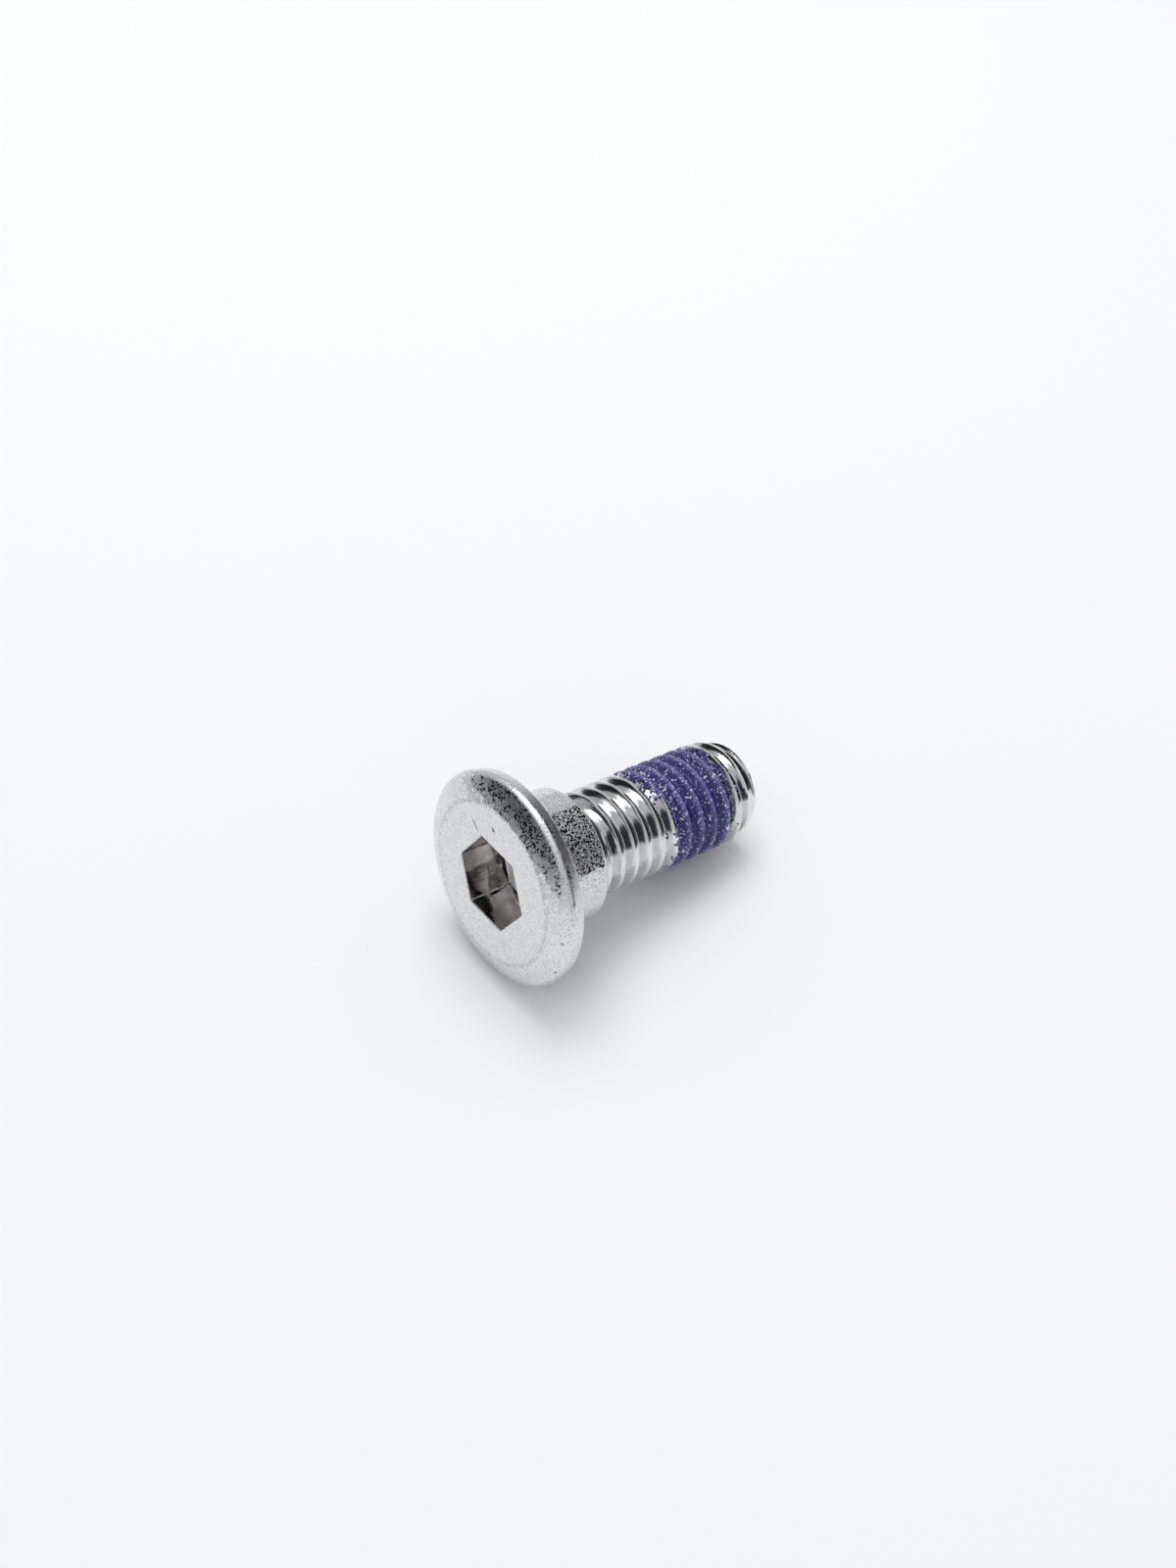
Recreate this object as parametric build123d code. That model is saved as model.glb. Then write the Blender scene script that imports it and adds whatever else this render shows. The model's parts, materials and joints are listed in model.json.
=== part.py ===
from build123d import *
import math
import os

# Brake rotor bolt: a low-head hex socket shoulder bolt, M8 x 1.25, with a band of dried
# threadlocker on its thread. Millimetres.
#
# The bolt is modelled upright in its own axis frame, with the head's flat face at z = 0 and the
# shank along +Z, and is laid down at the end: it lies on the rim of its head and the last full
# crest near its tip, with its axis over +X and the world's +Z up.

# Head
head_diameter = 15.8
head_height = 2.0
face_diameter = 11.8            # flat ring round the socket
bevel_drop = 0.85               # how far the bevel falls from the face to the rim
bevel_bulge = 0.12              # the bevel is slightly domed
rim_front_chamfer = 0.18
rim_rear_chamfer = 0.26

# Hex socket
socket_across_flats = 6.0
socket_depth = 3.45
socket_floor_cone = 0.5         # dimple of the punch in the floor
countersink_width = 0.06        # how far the countersink passes the hexagon's corners
countersink_half_angle = 60.0
socket_turn = 30.0              # a corner of the hexagon, counted from the side it lies on

# Shoulder that centres the rotor
shoulder_diameter = 9.8
shoulder_length = 4.5
shoulder_end_chamfer = 0.25

# Neck between the shoulder and the thread
neck_diameter = 7.0
neck_length = 0.75

# Thread
thread_diameter = 7.8           # over the plated crests
thread_pitch = 1.25
thread_flank_half_angle = 30.0
crest_width = 0.19
root_width = 0.25
crest_angle = 220.0             # the side on which crest_height is counted
crest_height = 8.52             # a crest's height above the head's face on that side
groove_start_angle = 135.0      # the side on which the groove starts, in the neck

# Shank and point, which is turned in two steps
length_under_head = 20.0
point_length = 1.3
point_step_length = 0.59
point_step_diameter = 7.34
point_end_diameter = 5.9

# Dried threadlocker
patch_start = 12.75             # from the head's face
patch_length = 7.05
patch_below_crest = 0.3         # it fills the thread's groove up to this far under the crests

groove_over = 0.08              # how far the groove's cutter passes the crests
run_out = 3 * thread_pitch      # how far the rod that the thread is cut in passes the tip
seam_angle = 180.0              # keeps the seam of the turned faces off the side it lies on
patch_seam_angle = 90.0         # keeps the patch's seam off the thread's

# Derived sizes
head_r = head_diameter / 2
face_r = face_diameter / 2
shoulder_r = shoulder_diameter / 2
neck_r = neck_diameter / 2
thread_r = thread_diameter / 2
socket_corner_r = socket_across_flats / 2 / math.cos(math.radians(30))
shoulder_end = head_height + shoulder_length
thread_start = shoulder_end + neck_length
neck_middle = shoulder_end + neck_length / 2
tip = head_height + length_under_head
point_start = tip - point_length


def half_section():
    """Half of the bolt's turned section, drawn with the radius along X and the height along Y."""
    run_in = thread_r - neck_r
    bevel_middle = ((face_r + head_r) / 2, bevel_drop / 2 - bevel_bulge)
    outline = Polyline(
        (0, 0),
        (face_r, 0),
        bevel_middle,
        (head_r, bevel_drop),
        (head_r, head_height),
        (shoulder_r, head_height),
        (shoulder_r, shoulder_end),
        (neck_r, shoulder_end),
        (neck_r, thread_start),
        (thread_r, thread_start + run_in),
        (thread_r, point_start),
        (point_step_diameter / 2, tip - point_step_length),
        (point_end_diameter / 2, tip),
        (0, tip),
        close=True,
    )
    corners = [
        (head_r, bevel_drop, rim_front_chamfer),
        (head_r, head_height, rim_rear_chamfer),
        (shoulder_r, shoulder_end, shoulder_end_chamfer),
    ]
    section = make_face(outline)
    for x, y, size in corners:
        corner = section.vertices().sort_by_distance((x, y, 0))[0]
        section = chamfer(corner, size)
    return Plane.XZ * section


def crest_height_at(angle):
    """Height of one crest on the side at this angle, in degrees about the axis."""
    return crest_height + thread_pitch * (angle - crest_angle) / 360


def make_threaded_rod():
    """The thread by itself, before the neck and the point are turned.

    A rod that runs out past the tip, with a right-hand groove that is swept along a helix.
    """
    flank = math.tan(math.radians(thread_flank_half_angle))
    half_mouth = (thread_pitch - crest_width) / 2
    depth = (half_mouth - root_width / 2) / flank
    half_over = half_mouth + groove_over * flank
    groove_height = crest_height_at(groove_start_angle) + thread_pitch / 2
    turns_back = math.floor((groove_height - half_over - neck_middle) / thread_pitch)
    start = groove_height - turns_back * thread_pitch
    path = Helix(
        pitch=thread_pitch,
        height=tip + run_out - thread_pitch - start,
        radius=thread_r,
        center=(0, 0, start),
    )
    cutter = make_face(
        Polyline(
            (thread_r - depth, start - root_width / 2),
            (thread_r - depth, start + root_width / 2),
            (thread_r + groove_over, start + half_over),
            (thread_r + groove_over, start - half_over),
            close=True,
        )
    )
    groove = Rot(0, 0, groove_start_angle) * sweep(Plane.XZ * cutter, path=path, is_frenet=True)
    rod_length = tip + run_out - neck_middle
    rod = Cylinder(thread_r, rod_length, align=(Align.CENTER, Align.CENTER, Align.MIN))
    return Pos(0, 0, neck_middle) * rod - groove


def hex_socket():
    """The socket with its countersink and the punch's shallow cone."""
    with BuildSketch() as hexagon:
        RegularPolygon(socket_corner_r, 6, rotation=socket_turn)
    prism = extrude(hexagon.sketch, socket_depth)
    sink_r = socket_corner_r + countersink_width
    sink_depth = sink_r / math.tan(math.radians(countersink_half_angle))
    sink = Cone(sink_r, 0, sink_depth, align=(Align.CENTER, Align.CENTER, Align.MIN))
    floor_r = socket_across_flats / 2
    cone = Cone(floor_r, 0, socket_floor_cone, align=(Align.CENTER, Align.CENTER, Align.MIN))
    return prism + sink + Pos(0, 0, socket_depth) * cone


def make_bolt(threaded_rod):
    """The one-piece steel bolt in its axis frame."""
    blank = Rot(0, 0, seam_angle) * revolve(half_section(), Axis.Z)
    head_end = Cylinder(head_diameter, neck_middle, align=(Align.CENTER, Align.CENTER, Align.MIN))
    return (blank & head_end) + (blank & threaded_rod) - hex_socket()


def make_patch(threaded_rod):
    """The threadlocker's dried band, which fills the thread's groove to under the crests."""
    base = (Align.CENTER, Align.CENTER, Align.MIN)
    sleeve = Cylinder(thread_r + groove_over, patch_length, align=base)
    fill = Cylinder(thread_r - patch_below_crest, patch_length, align=base)
    here = Pos(0, 0, patch_start) * Rot(0, 0, patch_seam_angle)
    return (here * sleeve - threaded_rod) & (here * fill)


def resting_tilt():
    """Tilt that brings the last full crest, on the side at angle 0, down level with the head's rim."""
    crests = math.floor((point_start - crest_height_at(0)) / thread_pitch)
    last_crest = crest_height_at(0) + crests * thread_pitch + crest_width / 2
    rim = head_height - rim_rear_chamfer
    return math.degrees(math.atan2(head_r - thread_r, last_crest - rim))


def lying(bolt):
    """Location that lays the bolt on its rim and a crest near its tip, over the origin."""
    laid = Rot(0, 90 + resting_tilt(), 0)
    box = (laid * bolt).bounding_box()
    centre = box.center()
    return Pos(-centre.X, -centre.Y, -box.min.Z) * laid


os.makedirs("parts", exist_ok=True)
thread = make_threaded_rod()
upright_bolt = make_bolt(thread)
upright_patch = make_patch(thread)
place = lying(upright_bolt)
export_step(place * upright_bolt, "parts/bolt.step")
export_step(place * upright_patch, "parts/threadlock_patch.step")
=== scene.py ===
# %% [markdown]
# # A brake rotor bolt
#
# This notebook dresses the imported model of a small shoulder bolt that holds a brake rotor. It is
# bright zinc-plated steel with a hexagon socket, and has a band of dried threadlocker on its thread.

# %% load the frame
import bpy
import json
import math
from mathutils import Matrix, Vector, noise


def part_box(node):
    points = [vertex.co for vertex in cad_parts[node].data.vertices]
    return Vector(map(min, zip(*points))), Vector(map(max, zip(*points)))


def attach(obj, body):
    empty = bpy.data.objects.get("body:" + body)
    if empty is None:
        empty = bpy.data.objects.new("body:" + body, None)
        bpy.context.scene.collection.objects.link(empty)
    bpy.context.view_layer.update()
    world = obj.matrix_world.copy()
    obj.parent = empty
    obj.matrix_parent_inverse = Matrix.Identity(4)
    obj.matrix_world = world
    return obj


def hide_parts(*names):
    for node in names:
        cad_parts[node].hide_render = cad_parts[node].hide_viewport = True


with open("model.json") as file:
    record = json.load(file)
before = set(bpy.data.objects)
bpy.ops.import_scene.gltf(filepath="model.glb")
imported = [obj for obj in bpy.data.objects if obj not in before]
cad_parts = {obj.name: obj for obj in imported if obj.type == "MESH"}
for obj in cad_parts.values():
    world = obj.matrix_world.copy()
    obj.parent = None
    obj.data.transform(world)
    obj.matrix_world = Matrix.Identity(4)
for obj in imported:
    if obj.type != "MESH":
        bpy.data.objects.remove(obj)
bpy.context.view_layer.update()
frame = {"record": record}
mounts = {mount["name"]: mount for mount in frame["record"]["mounts"]}


def in_mm(corners):
    """These corners or sizes in rounded millimetres."""
    return [[round(v * 1000, 2) for v in corner] for corner in corners]


# %% [markdown]
# ## The bolt's own frame
#
# A turned part is easiest to model upright, with its axis on Z, and a small one is easiest in
# millimetres, because Blender's operators lose accuracy on parts of a few millimetres in metres. So
# the bolt is modelled head down in millimetres, and one matrix lays it where the CAD has it. Its
# mounts give the matrix: the socket's mount is the centre of the head's face, and the shoulder's
# mount is the way the axis points. Angle 0 about the axis is the side that the bolt lies on.

# %% the way from the upright bolt to the lying one
face_centre = Vector(mounts["hex_socket"]["pos_m"])
along = Vector(mounts["shoulder"]["axis"]).normalized()
across = Vector((0, 1, 0))
down_side = across.cross(along)
turn = Matrix((down_side, across, along)).transposed()
lay_down = Matrix.Translation(face_centre) @ turn.to_4x4() @ Matrix.Scale(0.001, 4)
print("axis dips by", round(math.degrees(math.asin(-along.z)), 2), "degrees")

# %% sizes in millimetres
low, high = (Vector(corner) * 1000 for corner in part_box("bolt"))
head_r = (high.y - low.y) / 2
shoulder_r = mounts["shoulder"]["dims"]["r_mm"]
head_height = 2.0
face_r = 5.9
bevel_drop = 0.85
bevel_bulge = 0.12
rim_rear_r = 7.62
shoulder_end = 6.5
neck_r = 3.5
neck_end = 7.25
thread_r = 3.9
thread_pitch = 1.25
thread_depth = 0.7
crest_half = 0.095
root_half = 0.125
crest_angle = 220.0
crest_height = 8.52
tip = 22.0
socket_across_flats = 6.0
socket_corner_r = socket_across_flats / 2 / math.cos(math.radians(30))
socket_depth = 3.45
same_place = 0.0005
print("head radius", round(head_r, 3), "shoulder radius", shoulder_r)

# %% [markdown]
# ## The camera
#
# The camera stands above and to the left of the head, about 13 cm away, and looks down at 47
# degrees. A camera is placed well by what it looks at, the way it looks and how far off it is: those
# three are easy to read and to change, while a bare position says little.

# %% camera
camera_data = bpy.data.cameras.new("camera")
camera = bpy.data.objects.new("camera", camera_data)
bpy.context.scene.collection.objects.link(camera)
bpy.context.scene.camera = camera
aim = Vector((0.00084, 0.00361, 0.00746))
camera_distance = 0.12679
camera_heading = math.radians(38.37)
camera_elevation = math.radians(47.14)
towards_camera = Vector((
    -math.sin(camera_heading) * math.cos(camera_elevation),
    -math.cos(camera_heading) * math.cos(camera_elevation),
    math.sin(camera_elevation),
))
camera.location = aim + towards_camera * camera_distance
camera.rotation_euler = (-towards_camera).to_track_quat("-Z", "Y").to_euler()
camera_data.sensor_width = 36
camera_data.lens = 40.5
camera_data.clip_start = 0.005
camera_data.clip_end = 5
bpy.context.scene.view_settings.view_transform = "Standard"
print("camera at", [round(v, 4) for v in camera.location])

# %% [markdown]
# ## Helpers for working by hand
#
# Every operator acts on what is selected, so each step starts by selecting one object, and then the
# vertices that it needs, by their place. A ring that is extruded, resized and moved is how a turned
# part grows from its face to its neck.

# %% selecting and growing rings
def only(piece):
    """Selects this object alone and makes it active."""
    if bpy.context.mode != "OBJECT":
        bpy.ops.object.mode_set(mode="OBJECT")
    bpy.ops.object.select_all(action="DESELECT")
    piece.select_set(True)
    bpy.context.view_layer.objects.active = piece


def pick(piece, wanted):
    """Selects the vertices whose place the test wants, and leaves the object in edit mode."""
    only(piece)
    bpy.ops.object.mode_set(mode="EDIT")
    bpy.ops.mesh.select_mode(type="VERT")
    bpy.ops.mesh.select_all(action="DESELECT")
    bpy.ops.object.mode_set(mode="OBJECT")
    count = 0
    for vertex in piece.data.vertices:
        vertex.select = wanted(vertex.co)
        count += vertex.select
    bpy.ops.object.mode_set(mode="EDIT")
    return count


def everywhere(co):
    """A test that wants every vertex."""
    return True


def at_ring(radius, height, slack=0.01):
    """A test for the vertices at this radius and height."""
    return lambda co: abs(math.hypot(co.x, co.y) - radius) < slack and abs(co.z - height) < slack


def on_face(within, slack=0.001):
    """A test for the vertices on the head's flat face, nearer to the axis than this."""
    return lambda co: abs(co.z) < slack and math.hypot(co.x, co.y) < within


def add_circle(points, radius, height=0.0):
    """Adds a circle without a face, as a new object or to the one in edit mode."""
    bpy.ops.mesh.primitive_circle_add(
        vertices=points, radius=radius, fill_type="NOTHING", location=(0, 0, height)
    )


def new_circle(name, points, radius, height=0.0):
    """A new object that starts as one open circle."""
    bpy.ops.object.select_all(action="DESELECT")
    add_circle(points, radius, height)
    piece = bpy.context.active_object
    piece.name = name
    return piece


def grow(resize, rise):
    """Extrudes the selected open ring, makes it this many times as wide, and moves it along Z."""
    bpy.ops.mesh.extrude_region_move()
    bpy.ops.transform.resize(value=(resize, resize, 1), center_override=(0, 0, 0))
    bpy.ops.transform.translate(value=(0, 0, rise))


def face_outwards():
    """Turns every face of the object in edit mode outwards, and leaves edit mode."""
    bpy.ops.mesh.select_all(action="SELECT")
    bpy.ops.mesh.normals_make_consistent(inside=False)
    bpy.ops.object.mode_set(mode="OBJECT")


# %% [markdown]
# ## Head, shoulder and neck
#
# These are turned: every section across the axis is a circle. One way is to spin a half outline
# round the axis. Here a circle is extruded ring by ring instead, because the corners are then edge
# loops that the Bevel operator can round, each with its own radius, as the lathe's tool does.

# %% turned part, from the face's inner edge to the neck
steps_round = 192
face_inner_r = 4.1
neck_middle = (shoulder_end + neck_end) / 2
bolt = new_circle("bolt_steel", steps_round, face_inner_r)
pick(bolt, everywhere)
bevel_middle = ((face_r + head_r) / 2, bevel_drop / 2 - bevel_bulge)
rings = [
    (face_r, 0),
    bevel_middle,
    (head_r, bevel_drop),
    (rim_rear_r, head_height),
    (shoulder_r, head_height),
    (shoulder_r, shoulder_end),
    (neck_r, shoulder_end),
    (neck_r, neck_middle),
]
ring_now = (face_inner_r, 0)
for ring in rings:
    grow(ring[0] / ring_now[0], ring[1] - ring_now[1])
    ring_now = ring
print("rings", len(rings) + 1, "vertices", steps_round * (len(rings) + 1))

# %% round the turned corners
roundings = [
    ((face_r, 0), 0.16, 4),
    (bevel_middle, 0.5, 5),
    ((head_r, bevel_drop), 0.37, 8),
    ((rim_rear_r, head_height), 0.2, 6),
    ((shoulder_r, head_height), 0.22, 5),
    ((shoulder_r, shoulder_end), 0.4, 7),
    ((neck_r, shoulder_end), 0.28, 6),
]
for (radius, height), rounding, segments in roundings:
    found = pick(bolt, at_ring(radius, height))
    bpy.ops.mesh.bevel(
        offset=rounding, offset_type="OFFSET", segments=segments, profile=0.5, affect="EDGES"
    )
    print("corner at radius", round(radius, 2), "height", round(height, 2), "vertices", found)

# %% [markdown]
# ## Hexagon socket
#
# The socket is punched, so it has flat walls, slightly rounded corners, a fine bevel at its mouth
# and a shallow cone in its floor. A Boolean would cut it too, but leaves long thin faces round the
# hole, which a glossy metal shows. A six-sided circle, bridged to the face's inner edge and then
# grown inwards, keeps the faces clean.

# %% socket
mouth_bevel = 0.07
mouth_r = socket_corner_r + mouth_bevel
corner_rounding = 0.09
cuts_per_side = 31
wall_steps = (0.03, 0.45, 0.52)  # shares of the walls' depth
floor_rings = [(0.955, 0.06), (0.5, 0.22), (0.4, 0.12)]  # how many times as wide, how much deeper
only(bolt)
bpy.ops.object.mode_set(mode="EDIT")
bpy.ops.mesh.select_all(action="DESELECT")
add_circle(6, mouth_r)
bpy.ops.mesh.subdivide(number_cuts=cuts_per_side)
pick(bolt, at_ring(mouth_r, 0, 0.001))
bpy.ops.mesh.bevel(
    offset=corner_rounding, offset_type="OFFSET", segments=3, profile=0.5, affect="VERTICES"
)
pick(bolt, on_face(face_inner_r + 0.01))
bpy.ops.mesh.bridge_edge_loops()
pick(bolt, on_face(face_inner_r - 0.1))
grow(socket_corner_r / mouth_r, mouth_bevel)
for part_way in wall_steps:
    grow(1, (socket_depth - mouth_bevel) * part_way)
for resize, rise in floor_rings:
    grow(resize, rise)
bpy.ops.mesh.merge(type="CENTER")
bpy.ops.mesh.select_all(action="SELECT")
bpy.ops.mesh.remove_doubles(threshold=same_place)
face_outwards()
print("socket floor at", round(max(v.co.z for v in bolt.data.vertices if v.co.xy.length < 0.5), 2))

# %% [markdown]
# ## Thread
#
# A thread is one small outline that turns and climbs at the same time. The Screw modifier does just
# that: the outline of one ridge, turned once per pitch, meets its own start and makes a true helix,
# so the crest is one unbroken line. A stack of rings would look alike from afar, and wrong at once
# from near by. The outline starts in the bottom of a groove, goes over the crest and ends in the
# next groove.

# %% form of one ridge
flank_run = thread_pitch / 2 - crest_half - root_half
crest_soft = 0.05
root_soft = 0.06


def soft_above(value, soft):
    """The value where it is above 0, and nothing below, with a soft bend between them."""
    return 0.5 * (value + math.sqrt(value**2 + soft**2))


def steel_radius(from_crest):
    """Radius of the thread this far along the axis from the middle of its crest."""
    down = max(0.0, abs(from_crest) - crest_half) * (thread_depth / flank_run)
    crest_side = thread_r - soft_above(down - crest_soft, crest_soft)
    root_r = thread_r - thread_depth
    return root_r + soft_above(crest_side - root_r, root_soft)


def wound(name, outline, start_height, turns, steps):
    """A helix: this outline of (radius, height) points, turned and raised a pitch each turn."""
    piece = new_circle(name, 3, 1)
    pick(piece, everywhere)
    bpy.ops.mesh.merge(type="CENTER")
    bpy.ops.transform.translate(value=(outline[0][0], 0, start_height))
    here = outline[0]
    for radius, height in outline[1:]:
        bpy.ops.mesh.extrude_region_move()
        bpy.ops.transform.translate(value=(radius - here[0], 0, height - here[1]))
        here = (radius, height)
    bpy.ops.object.mode_set(mode="OBJECT")
    screw = piece.modifiers.new("wind", "SCREW")
    screw.screw_offset = thread_pitch
    screw.iterations = turns
    screw.steps = steps
    screw.render_steps = steps
    bpy.ops.object.modifier_apply(modifier=screw.name)
    pick(piece, everywhere)
    bpy.ops.mesh.remove_doubles(threshold=same_place)
    bpy.ops.object.mode_set(mode="OBJECT")
    return piece


def ridge_outline(radius_at, marks):
    """Points of one ridge from groove to groove, at these distances from its crest."""
    both = [-mark for mark in reversed(marks)] + [mark for mark in marks if mark > 0]
    return [(radius_at(mark), mark + thread_pitch / 2) for mark in both]


def winding(from_height, to_height, spare):
    """The height of the groove where a helix starts, below this height, and its number of turns."""
    groove_at_0 = crest_at_0 - thread_pitch / 2
    turns_below = math.floor((groove_at_0 - from_height) / thread_pitch) + 2
    start = groove_at_0 - turns_below * thread_pitch
    return start, math.ceil((to_height - start) / thread_pitch) + spare


# %% wind the thread
crest_at_0 = crest_height - thread_pitch * crest_angle / 360
thread_marks = [0, 0.06, 0.1, 0.14, 0.2, 0.29, 0.38, 0.45, 0.5, 0.55, thread_pitch / 2]
thread_start, thread_turns = winding(neck_middle, tip, 1)
thread = wound(
    "thread", ridge_outline(steel_radius, thread_marks), thread_start, thread_turns, steps_round
)
print("turns", thread_turns, "from height", round(thread_start, 2))

# %% [markdown]
# The wound thread is cut off square in the neck and at the tip with Bisect. It then runs out in the
# neck, where a rolled thread is never full, and is turned down to the rounded point at its end. Both
# are limits on the radius at a height, so the vertices are moved by a rule.

# %% cut and shape the ends
point_rings = [(20.45, 3.9), (20.95, 3.6), (21.6, 3.5), (21.82, 3.42), (21.95, 3.26), (tip, 3.05)]
run_out_start = neck_end - 0.1
root_falls = 0.35
crest_rises = 0.9


def point_limit(height):
    """Radius of the point at this height: a short cone behind the last full crest, then a round."""
    if height <= point_rings[0][0]:
        return thread_r
    for (low, low_r), (high, high_r) in zip(point_rings, point_rings[1:]):
        if height <= high:
            return low_r + (high_r - low_r) * (height - low) / (high - low)
    return point_rings[-1][1]


def neck_limits(height):
    """Lowest and highest radius where the thread runs out in the neck."""
    into = max(0.0, height - run_out_start)
    return neck_r - min(into * root_falls, thread_r), neck_r + into * crest_rises


def cut_square(piece, height, keep_above):
    """Cuts the piece at this height and keeps one side."""
    pick(piece, everywhere)
    bpy.ops.mesh.bisect(
        plane_co=(0, 0, height),
        plane_no=(0, 0, 1),
        clear_inner=keep_above,
        clear_outer=not keep_above,
    )
    bpy.ops.object.mode_set(mode="OBJECT")


cut_square(thread, neck_middle, True)
cut_square(thread, tip, False)
for vertex in thread.data.vertices:
    radius = vertex.co.xy.length
    lowest, highest = neck_limits(vertex.co.z)
    limited = min(max(radius, lowest), highest, point_limit(vertex.co.z))
    vertex.co.xy *= limited / radius
print("thread reaches", [round(v, 2) for v in thread.dimensions])

# %% close the tip and join it all
tip_ring = 0.8
join_slack = 0.06
pick(thread, lambda co: abs(co.z - tip) < 0.0001)
grow(tip_ring, 0)
bpy.ops.mesh.extrude_region_move()
bpy.ops.mesh.merge(type="CENTER")
only(bolt)
thread.select_set(True)
bpy.ops.object.join()
pick(bolt, lambda co: abs(co.z - neck_middle) < 0.001)
bpy.ops.mesh.remove_doubles(threshold=join_slack)
face_outwards()
print("bolt triangles", sum(len(face.vertices) - 2 for face in bolt.data.polygons))

# %% [markdown]
# ## Dried threadlocker
#
# The coat was brushed on as a liquid, so it lies deep in the grooves, thin on the crests, and ends
# in a ragged edge with loose drops beyond it. A smooth band with a sharp edge would look like a
# sleeve. It is wound like the thread, with more points, and then a slow noise decides how thick it
# is at each place: where that falls below nothing, the coat sinks into the steel and its faces go.

# %% form of the coat
coat_low = 13.62
coat_high = 19.45
early_side = math.radians(160)
starts_early_by = 0.85
coat_root_r = 3.47
coat_swell = 0.46
border_gain = 1.6               # the coat is at its full thickness from an amount of 1 / 1.6
thinnest = 0.012
sinks_by = 0.3
deepest = -0.06
bare_below = -0.12              # faces with less coat than this go
coat_steps = 288


def coat_radius(from_crest):
    """Radius of the full coat this far from the crest: a soft wave over ridge and groove."""
    wave = 0.5 + 0.5 * math.cos(2 * math.pi * from_crest / thread_pitch)
    return coat_root_r + coat_swell * wave


def coat_amount(place):
    """How much coat there is: under 0 is bare steel, and 1 is the full coat."""
    early = max(0.0, math.cos(math.atan2(place.y, place.x) - early_side)) ** 4
    inside = min(place.z - coat_low + starts_early_by * early, coat_high - place.z)
    border = max(inside * 1.8, inside * 0.6 - 0.1)
    drift = noise.noise(place * 0.6 + Vector((0, 0, 7)))
    drops = noise.noise(place * 2.3)
    specks = noise.noise(place * 5.2 + Vector((5, 0, 0)))
    return border + drift * 0.3 + drops * 0.6 + specks * 0.8


def coat_thickness(amount, full):
    """Thickness for this amount of coat, or how far its skin sinks into bare steel, as a minus."""
    if amount > 0:
        return max(full * min(1.0, amount * border_gain), thinnest)
    return max(deepest, amount * sinks_by)


# %% wind the coat and give it its thickness
coat_marks = [0, 0.05, 0.1, 0.15, 0.2, 0.25, 0.3, 0.35, 0.4, 0.45, 0.5, 0.56, thread_pitch / 2]
coat_start, coat_turns = winding(coat_low, coat_high, 2)
coat = wound(
    "threadlocker_coat", ridge_outline(coat_radius, coat_marks), coat_start, coat_turns, coat_steps
)
amounts = []
for vertex in coat.data.vertices:
    place = vertex.co.copy()
    angle = math.degrees(math.atan2(place.y, place.x))
    crest = crest_at_0 + thread_pitch * angle / 360
    from_crest = (place.z - crest + thread_pitch / 2) % thread_pitch - thread_pitch / 2
    under = steel_radius(from_crest)
    amount = coat_amount(place)
    lumps = 0.03 * noise.noise(place * 3.2) + 0.018 * noise.noise(place * 8)
    full = place.xy.length + lumps - under
    vertex.co.xy *= (under + coat_thickness(amount, full)) / place.xy.length
    amounts.append(amount)
only(coat)
bpy.ops.object.mode_set(mode="EDIT")
bpy.ops.mesh.select_mode(type="FACE")
bpy.ops.mesh.select_all(action="DESELECT")
bpy.ops.object.mode_set(mode="OBJECT")
for face in coat.data.polygons:
    face.select = all(amounts[index] < bare_below for index in face.vertices)
bpy.ops.object.mode_set(mode="EDIT")
bpy.ops.mesh.delete(type="FACE")
face_outwards()
coat_reach = max(vertex.co.xy.length for vertex in coat.data.vertices)
print("coat triangles", 2 * len(coat.data.polygons), "radius", round(coat_reach, 3))

# %% [markdown]
# ## A shared grain
#
# Plating and dried lacquer both have a fine uneven skin. It is one node group, with its own scale
# and contrast in each material, so both are changed in one place. It puts out a mask only, and the
# shader stays in the material.

# %% node group for grain
def link(tree, start, end):
    """Joins an output socket to an input socket."""
    tree.links.new(start, end)


grain = bpy.data.node_groups.new("uneven_skin", "ShaderNodeTree")
grain.interface.new_socket("Vector", in_out="INPUT", socket_type="NodeSocketVector")
for setting in ("Scale", "Detail", "Low", "High"):
    grain.interface.new_socket(setting, in_out="INPUT", socket_type="NodeSocketFloat")
grain.interface.new_socket("Mask", in_out="OUTPUT", socket_type="NodeSocketFloat")
group_in = grain.nodes.new("NodeGroupInput")
group_out = grain.nodes.new("NodeGroupOutput")
cloud = grain.nodes.new("ShaderNodeTexNoise")
spread = grain.nodes.new("ShaderNodeMapRange")
for setting in ("Vector", "Scale", "Detail"):
    link(grain, group_in.outputs[setting], cloud.inputs[setting])
link(grain, cloud.outputs["Fac"], spread.inputs["Value"])
link(grain, group_in.outputs["Low"], spread.inputs["From Min"])
link(grain, group_in.outputs["High"], spread.inputs["From Max"])
link(grain, spread.outputs["Result"], group_out.inputs["Mask"])


def add_grain(tree, vector, scale, detail, low_end, high_end):
    """Places the grain in a material and returns its mask."""
    node = tree.nodes.new("ShaderNodeGroup")
    node.node_tree = grain
    link(tree, vector, node.inputs["Vector"])
    node.inputs["Scale"].default_value = scale
    node.inputs["Detail"].default_value = detail
    node.inputs["Low"].default_value = low_end
    node.inputs["High"].default_value = high_end
    return node.outputs["Mask"]


# %% [markdown]
# ## Helpers for shaders
#
# The materials are all built from a few small steps: a place on the bolt, a mask that rises over a
# range, and a mix or a bump that the mask drives. A helper for each keeps the materials short enough
# to read as a list of what the surface has.

# %% places, masks, mixes and bumps
def new_material(name):
    """A material, its node tree and its shader."""
    material = bpy.data.materials.new(name)
    material.use_nodes = True
    return material, material.node_tree, material.node_tree.nodes["Principled BSDF"]


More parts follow.
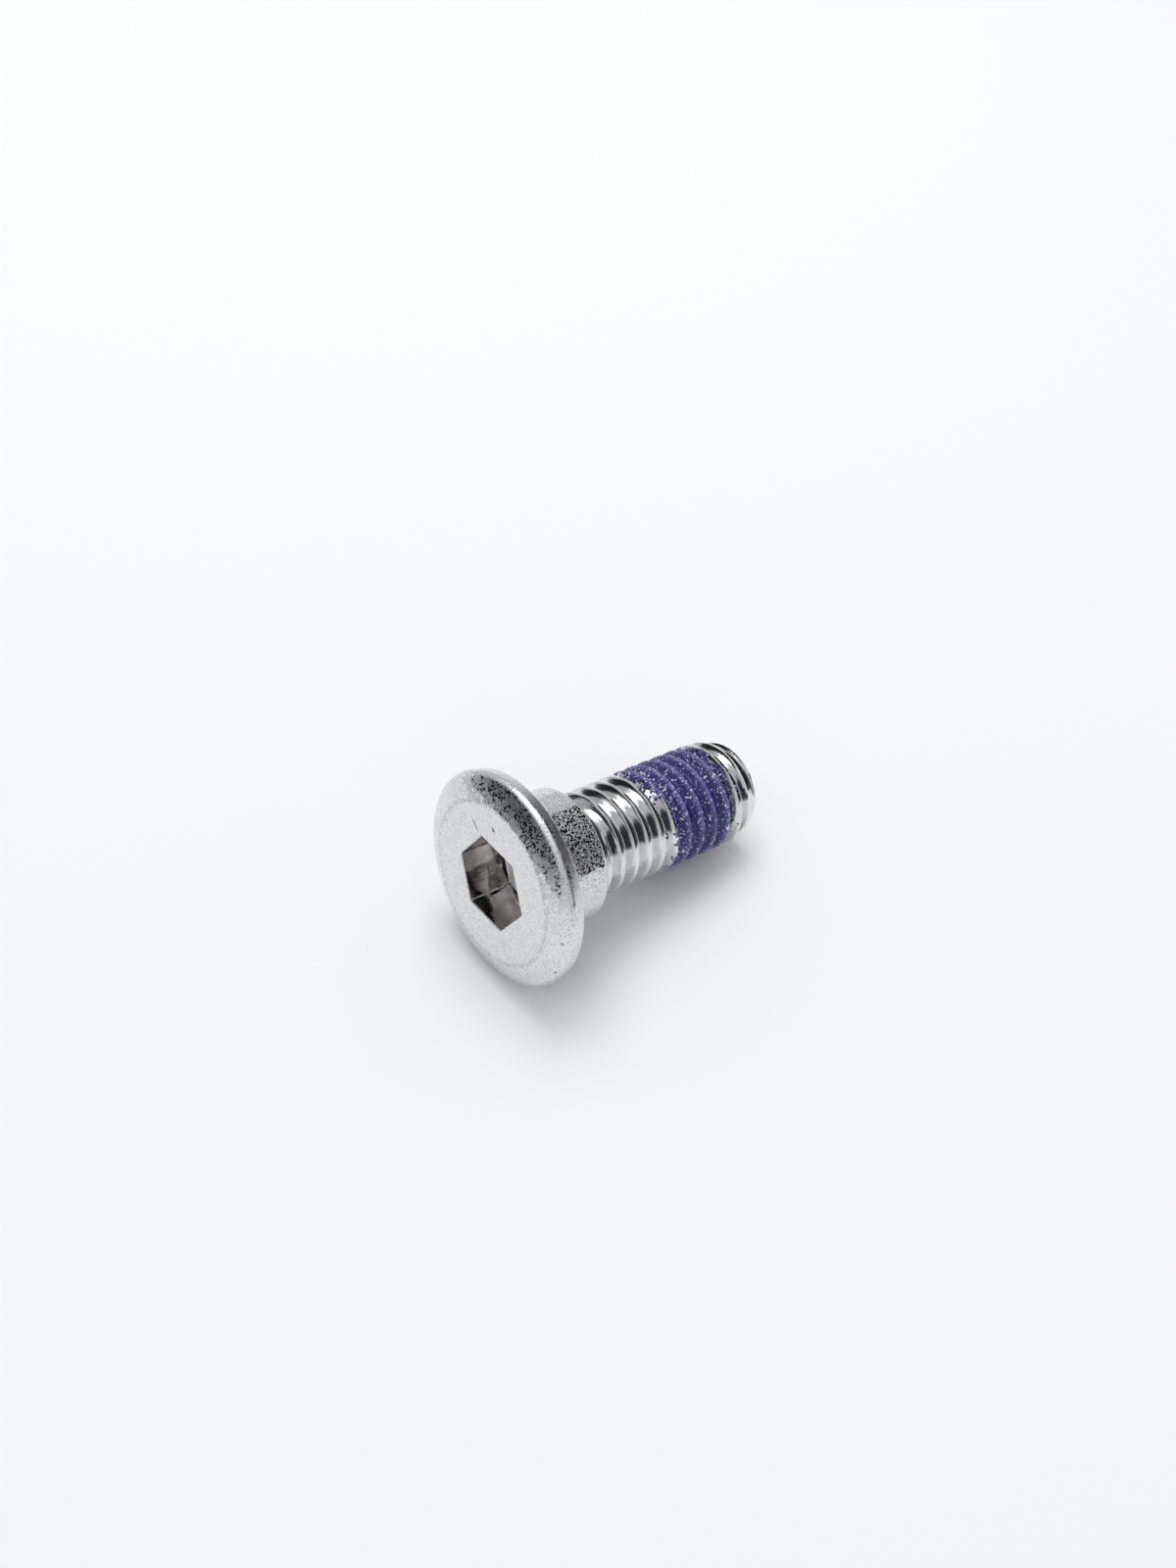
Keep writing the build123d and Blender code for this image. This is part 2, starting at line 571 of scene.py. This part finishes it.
def bolt_frame(tree):
    """The upright bolt's own millimetres, from Object coordinates."""
    where = tree.nodes.new("ShaderNodeTexCoord")
    upright = tree.nodes.new("ShaderNodeMapping")
    upright.vector_type = "TEXTURE"
    upright.inputs["Location"].default_value = face_centre
    upright.inputs["Rotation"].default_value = turn.to_euler()
    upright.inputs["Scale"].default_value = (0.001, 0.001, 0.001)
    link(tree, where.outputs["Object"], upright.inputs["Vector"])
    return upright.outputs["Vector"]


def height_of(tree, place):
    """The height of a place, its Z."""
    parts = tree.nodes.new("ShaderNodeSeparateXYZ")
    link(tree, place, parts.inputs["Vector"])
    return parts.outputs["Z"]


def length_of(tree, vector):
    """The length of a vector."""
    node = tree.nodes.new("ShaderNodeVectorMath")
    node.operation = "LENGTH"
    link(tree, vector, node.inputs[0])
    return node.outputs["Value"]


def axis_distance(tree, place):
    """Distance of a place from its frame's Z axis."""
    flat = tree.nodes.new("ShaderNodeVectorMath")
    flat.operation = "MULTIPLY"
    flat.inputs[1].default_value = (1, 1, 0)
    link(tree, place, flat.inputs[0])
    return length_of(tree, flat.outputs["Vector"])


def mix(tree, share, first, second):
    """Mixes two colours by this share, a socket."""
    node = tree.nodes.new("ShaderNodeMix")
    node.data_type = "RGBA"
    link(tree, share, node.inputs["Factor"])
    for value, socket in ((first, node.inputs["A"]), (second, node.inputs["B"])):
        if isinstance(value, tuple):
            socket.default_value = value
        else:
            link(tree, value, socket)
    return node.outputs["Result"]


def ranged(tree, value, from_low, from_high, to_low, to_high):
    """Maps a value from one range to another."""
    node = tree.nodes.new("ShaderNodeMapRange")
    link(tree, value, node.inputs["Value"])
    node.inputs["From Min"].default_value = from_low
    node.inputs["From Max"].default_value = from_high
    node.inputs["To Min"].default_value = to_low
    node.inputs["To Max"].default_value = to_high
    return node.outputs["Result"]


def bump(tree, height, distance, under=None):
    """A bump of this height in metres, on top of another one."""
    node = tree.nodes.new("ShaderNodeBump")
    node.inputs["Strength"].default_value = 1.0
    node.inputs["Distance"].default_value = distance
    link(tree, height, node.inputs["Height"])
    if under:
        link(tree, under, node.inputs["Normal"])
    return node.outputs["Normal"]


def joined(tree, operation, first, second):
    """Two values joined by this operation; the second may be a plain number."""
    node = tree.nodes.new("ShaderNodeMath")
    node.operation = operation
    link(tree, first, node.inputs[0])
    if isinstance(second, float):
        node.inputs[1].default_value = second
    else:
        link(tree, second, node.inputs[1])
    return node.outputs["Value"]


def times(tree, first, second):
    """The product of two values."""
    return joined(tree, "MULTIPLY", first, second)


def greater(tree, first, second):
    """The greater of two values."""
    return joined(tree, "MAXIMUM", first, second)


# %% [markdown]
# ## Bright zinc plating
#
# Plating is a mirror with a fine skin, so its colour is nearly one value and the looks come from what
# it reflects. On the head and the shoulder the skin is dull in places: a bright place keeps a dark
# reflection black, and a dull one blurs it to grey, which makes the mottle. Where the surroundings
# are pale, both are pale. The rolled thread is smooth all over. A scratch and three nicks are marks
# of use on the head.
# A broken dark line along the edge of the flat face is painted shade.

# %% plated steel
mark_reach = 0.4                # how far a mark reaches along the axis, in millimetres
mark_core = 0.4                 # the share of a mark that has its full strength

# centre, half length, half width, turn in degrees, strength
wear_marks = [
    ((-3.4, 2.5, 0), 0.75, 0.09, -58, 0.8),
    ((-4.36, 0.64, 0), 0.3, 0.14, -58, 1.0),
    ((-0.33, -7.22, 0.48), 0.16, 0.1, -50, 0.9),
    ((2.6, -7.03, 0.63), 0.17, 0.1, 20, 1.0),
]


def wear_mark(tree, place, centre, half_length, half_width, turned, strength):
    """A mask for one long nick, at this centre and turned by these degrees about the axis."""
    local = tree.nodes.new("ShaderNodeMapping")
    local.vector_type = "TEXTURE"
    local.inputs["Location"].default_value = centre
    local.inputs["Rotation"].default_value = (0, 0, math.radians(turned))
    local.inputs["Scale"].default_value = (half_length, half_width, mark_reach)
    link(tree, place, local.inputs["Vector"])
    return ranged(tree, length_of(tree, local.outputs["Vector"]), mark_core, 1.0, strength, 0)


steel, tree, shader = new_material("plated_steel")
shader.inputs["Metallic"].default_value = 1.0
place = bolt_frame(tree)
height = height_of(tree, place)
from_axis = axis_distance(tree, place)
lathe_place = tree.nodes.new("ShaderNodeCombineXYZ")
link(tree, from_axis, lathe_place.inputs["X"])
link(tree, height, lathe_place.inputs["Y"])
blotches = add_grain(tree, place, 1.1, 2.0, 0.36, 0.6)
patches = add_grain(tree, place, 1.6, 4.0, 0.5, 0.57)
specks = add_grain(tree, place, 6.5, 3.0, 0.5, 0.57)
crust = add_grain(tree, place, 6.0, 3.0, 0.35, 0.65)
pits = add_grain(tree, place, 8.0, 2.0, 0.58, 0.64)
lathe = add_grain(tree, lathe_place.outputs["Vector"], 6.0, 3.0, 0.3, 0.7)
head_end = ranged(tree, height, shoulder_end - 0.4, shoulder_end, 1, 0)
head_only = ranged(tree, height, head_height - 0.05, head_height + 0.05, 1, 0)
shoulder_on = ranged(tree, height, head_height, head_height + 0.2, 0.4, 1)
thread_on = ranged(tree, height, shoulder_end - 0.4, shoulder_end, 0, 0.35)
rim_out = ranged(tree, from_axis, 7.5, 7.6, 0, 1)
rim_side = times(tree, rim_out, ranged(tree, height, 1.05, 1.35, 0, 1))
dull_skin = greater(tree, times(tree, patches, head_only), specks)
dull_skin = times(tree, greater(tree, dull_skin, rim_side), head_end)
dull_skin = greater(tree, dull_skin, thread_on)
# painted shade: a broken dark line round the edge of the flat face, where it turns into the bevel
inner_side = ranged(tree, from_axis, face_r - 0.15, face_r + 0.05, 0, 1)
outer_side = ranged(tree, from_axis, face_r + 0.1, face_r + 0.3, 1, 0)
near_face = ranged(tree, height, 0.3, 0.5, 1, 0)
face_edge = times(tree, times(tree, inner_side, outer_side), near_face)
painted_edge_shade = times(tree, face_edge, add_grain(tree, place, 3.0, 3.0, 0.4, 0.56))
plain = mix(tree, blotches, (0.7, 0.7, 0.715, 1), (0.78, 0.78, 0.79, 1))
specked = mix(tree, times(tree, crust, head_end), plain, (0.8, 0.8, 0.81, 1))
pitted = mix(tree, times(tree, pits, head_end), specked, (0.5, 0.5, 0.51, 1))
# the painted shade along the face's edge darkens the plating there
plating = mix(tree, times(tree, painted_edge_shade, 0.7), pitted, (0.45, 0.45, 0.46, 1))
for mark in wear_marks:
    plating = mix(tree, wear_mark(tree, place, *mark), plating, (0.1, 0.1, 0.1, 1))
link(tree, plating, shader.inputs["Base Color"])
link(tree, ranged(tree, dull_skin, 0, 1, 0.05, 0.34), shader.inputs["Roughness"])
skin = bump(tree, lathe, 1.2e-6)
skin = bump(tree, blotches, 4e-6, skin)
skin = bump(tree, times(tree, times(tree, specks, shoulder_on), head_end), 1.4e-5, skin)
link(tree, skin, shader.inputs["Normal"])
bolt.data.materials.append(steel)

# %% [markdown]
# ## Socket walls with painted shade
#
# The punched walls are painted darker and a little pink as shade in the deep socket, most of all near
# the mouth, and their soft dents bend what they reflect. Only the rounded corners between them are as
# bright as the outside, so they keep the first material.

# %% socket plating with painted shade
floor_from = socket_depth + 0.06
wall_slack = 4                  # in degrees: the rounded corners face further off than this
socket_plating_painted_shade, tree, shader = new_material("socket_plating_painted_shade")
shader.inputs["Metallic"].default_value = 1.0
place = bolt_frame(tree)
height = height_of(tree, place)
punched = tree.nodes.new("ShaderNodeMapping")
punched.inputs["Scale"].default_value = (1.0, 1.0, 0.35)
link(tree, place, punched.inputs["Vector"])
stains = add_grain(tree, place, 0.9, 3.0, 0.35, 0.62)
waves = add_grain(tree, punched.outputs["Vector"], 0.8, 1.0, 0.2, 0.8)
grains = add_grain(tree, punched.outputs["Vector"], 5.0, 3.0, 0.35, 0.7)
# painted shade: the walls are darkest near the mouth and the floor is darker than the deep walls;
# stains break it up
deep = ranged(tree, height, 0.9, 2.1, 0.15, 1)
on_walls = ranged(tree, height, socket_depth, floor_from, 1, 0.5)
clear = times(tree, times(tree, deep, on_walls), ranged(tree, stains, 0, 1, 0.6, 1))
tint = mix(tree, clear, (0.28, 0.26, 0.255, 1), (0.98, 0.95, 0.94, 1))
link(tree, tint, shader.inputs["Base Color"])
link(tree, ranged(tree, stains, 0, 1, 0.05, 0.12), shader.inputs["Roughness"])
dents = bump(tree, waves, 3.5e-5)
link(tree, bump(tree, grains, 3e-6, dents), shader.inputs["Normal"])
bolt.data.materials.append(socket_plating_painted_shade)
for face in bolt.data.polygons:
    off_wall = (math.degrees(math.atan2(face.normal.y, face.normal.x)) + 30) % 60 - 30
    on_wall = abs(off_wall) < wall_slack and mouth_bevel < face.center.z < socket_depth
    on_floor = floor_from < face.center.z < socket_depth + 1
    if face.center.xy.length < socket_corner_r and (on_wall or on_floor):
        face.material_index = 1
print("faces in the socket", sum(face.material_index for face in bolt.data.polygons))

# %% [markdown]
# ## Dried blue threadlocker
#
# It is a rough lacquer: dark where it lies deep, paler where it is thin on a crest, with tiny glints
# where light catches its grains, most of them near its borders. The distance from the axis says how
# deep a place lies, so it drives the colour.

# %% dried threadlocker
locker, tree, shader = new_material("dried_threadlocker")
shader.inputs["Specular IOR Level"].default_value = 0.5
place = bolt_frame(tree)
height = height_of(tree, place)
depth = ranged(tree, axis_distance(tree, place), 3.72, 3.94, 0, 1)
clots = add_grain(tree, place, 2.4, 4.0, 0.35, 0.65)
low_border = ranged(tree, height, coat_low + 0.4, coat_low + 1.6, 1, 0)
high_border = ranged(tree, height, coat_high - 1.4, coat_high - 0.5, 0, 1)
border = greater(tree, low_border, high_border)
sparse = add_grain(tree, place, 5.5, 1.0, 0.65, 0.69)
close = add_grain(tree, place, 6.0, 1.0, 0.62, 0.66)
glints = greater(tree, sparse, times(tree, border, close))
fresh = mix(tree, depth, (0.012, 0.009, 0.12, 1), (0.15, 0.15, 0.4, 1))
cloudy = mix(tree, times(tree, clots, 0.6), fresh, (0.028, 0.022, 0.19, 1))
glinting = mix(tree, glints, cloudy, (0.78, 0.8, 0.88, 1))
link(tree, glinting, shader.inputs["Base Color"])
link(tree, ranged(tree, clots, 0, 1, 0.2, 0.42), shader.inputs["Roughness"])
skin = bump(tree, clots, 3e-5)
skin = bump(tree, add_grain(tree, place, 7.0, 2.0, 0.3, 0.7), 4e-5, skin)
link(tree, skin, shader.inputs["Normal"])
coat.data.materials.append(locker)

# %% [markdown]
# ## Lay the pieces down
#
# The upright millimetre pieces are turned and made small in their meshes, so that their objects stay
# at the origin. Each then hides the CAD node that it stands for and is hung on the body that carries
# it.

# %% lay the pieces down and hang them on their body
for piece, node, finish in (
    (bolt, "bolt", "plated_steel"),
    (coat, "threadlock_patch", "dried_threadlocker"),
):
    piece.data.transform(lay_down)
    piece.data.update()
    only(piece)
    bpy.ops.object.shade_smooth_by_angle(angle=math.radians(32))
    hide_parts(node)
    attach(piece, "root")
    print(piece.name, "size in mm", in_mm([piece.dimensions]))

# %% [markdown]
# ## Floor and light
#
# A bright metal shows its surroundings more than its own colour. Here they are a pale floor and a
# pale room that is brighter overhead. One large soft lamp, above the bolt and a little behind it,
# gives the floor its soft shadow.

# %% floor
bpy.ops.object.select_all(action="DESELECT")
bpy.ops.mesh.primitive_plane_add(size=4, location=(0, 0, 0))
floor = bpy.context.active_object
floor.name = "floor"
pale, tree, shader = new_material("pale_floor")
shader.inputs["Base Color"].default_value = (0.92, 0.92, 0.922, 1)
shader.inputs["Roughness"].default_value = 0.9
shader.inputs["Specular IOR Level"].default_value = 0.1
floor.data.materials.append(pale)

# %% surroundings
def colour_ramp(tree, value, stops):
    """A colour ramp through these (position, colour) stops."""
    node = tree.nodes.new("ShaderNodeValToRGB")
    link(tree, value, node.inputs["Fac"])
    node.color_ramp.elements[0].position, node.color_ramp.elements[0].color = stops[0]
    node.color_ramp.elements[1].position, node.color_ramp.elements[1].color = stops[-1]
    for position, colour in stops[1:-1]:
        node.color_ramp.elements.new(position).color = colour
    return node.outputs["Color"]


world = bpy.data.worlds.new("room")
bpy.context.scene.world = world
world.use_nodes = True
tree = world.node_tree
where = tree.nodes.new("ShaderNodeTexCoord")
ceiling = colour_ramp(tree, height_of(tree, where.outputs["Generated"]), [
    (0.0, (0.56, 0.565, 0.575, 1)),
    (0.6, (0.56, 0.565, 0.575, 1)),
    (0.8, (0.74, 0.745, 0.755, 1)),
])
link(tree, ceiling, tree.nodes["Background"].inputs["Color"])

# %% [markdown]
# ## Dark card
#
# Pale surroundings alone would make a mirror look like white paint, so studios stand dark cards round
# a bright part. This one lies and stands in a ring round the bolt, with two gaps, and only mirrors
# see it: it is left out of the picture, of the floor's light and of the shadows. It fades out at its
# near edge and at its top.

# %% dark card round the bolt
card_near = 0.082
card_r = 0.3
card_top = 0.31
card_lift = 0.0004
near_fade = 1.3
top_fade = 0.03
openings = [(31, 120), (-168, -82)]
card = new_circle("dark_card", 120, card_near, card_lift)
pick(card, everywhere)
grow(card_r / card_near, 0)
grow(1, card_top)
for open_from, open_to in openings:
    pick(card, lambda co: open_from < math.degrees(math.atan2(co.y, co.x)) < open_to)
    bpy.ops.mesh.delete(type="VERT")
bpy.ops.object.mode_set(mode="OBJECT")
card.data.transform(Matrix.Translation(card.location))
card.location = (0, 0, 0)
black, tree, shader = new_material("black_card")
shader.inputs["Base Color"].default_value = (0.012, 0.012, 0.014, 1)
shader.inputs["Roughness"].default_value = 1.0
shader.inputs["Specular IOR Level"].default_value = 0.0
place = tree.nodes.new("ShaderNodeTexCoord").outputs["Object"]
near_edge = ranged(tree, axis_distance(tree, place), card_near, card_near * near_fade, 0, 1)
top_edge = ranged(tree, height_of(tree, place), card_top - top_fade, card_top, 1, 0)
link(tree, times(tree, near_edge, top_edge), shader.inputs["Alpha"])
card.data.materials.append(black)
for seen_by in ("visible_camera", "visible_diffuse", "visible_shadow"):
    setattr(card, seen_by, False)

# %% soft lamp
def soft_lamp(name, place, size, power):
    """A square lamp at this place that looks at the bolt."""
    data = bpy.data.lights.new(name, "AREA")
    data.size = size
    data.energy = power
    lamp = bpy.data.objects.new(name, data)
    lamp.location = place
    lamp.rotation_euler = (-lamp.location).to_track_quat("-Z", "Y").to_euler()
    bpy.context.scene.collection.objects.link(lamp)


soft_lamp("window", place=Vector((0.09, 0.17, 0.57)), size=0.36, power=1.55)
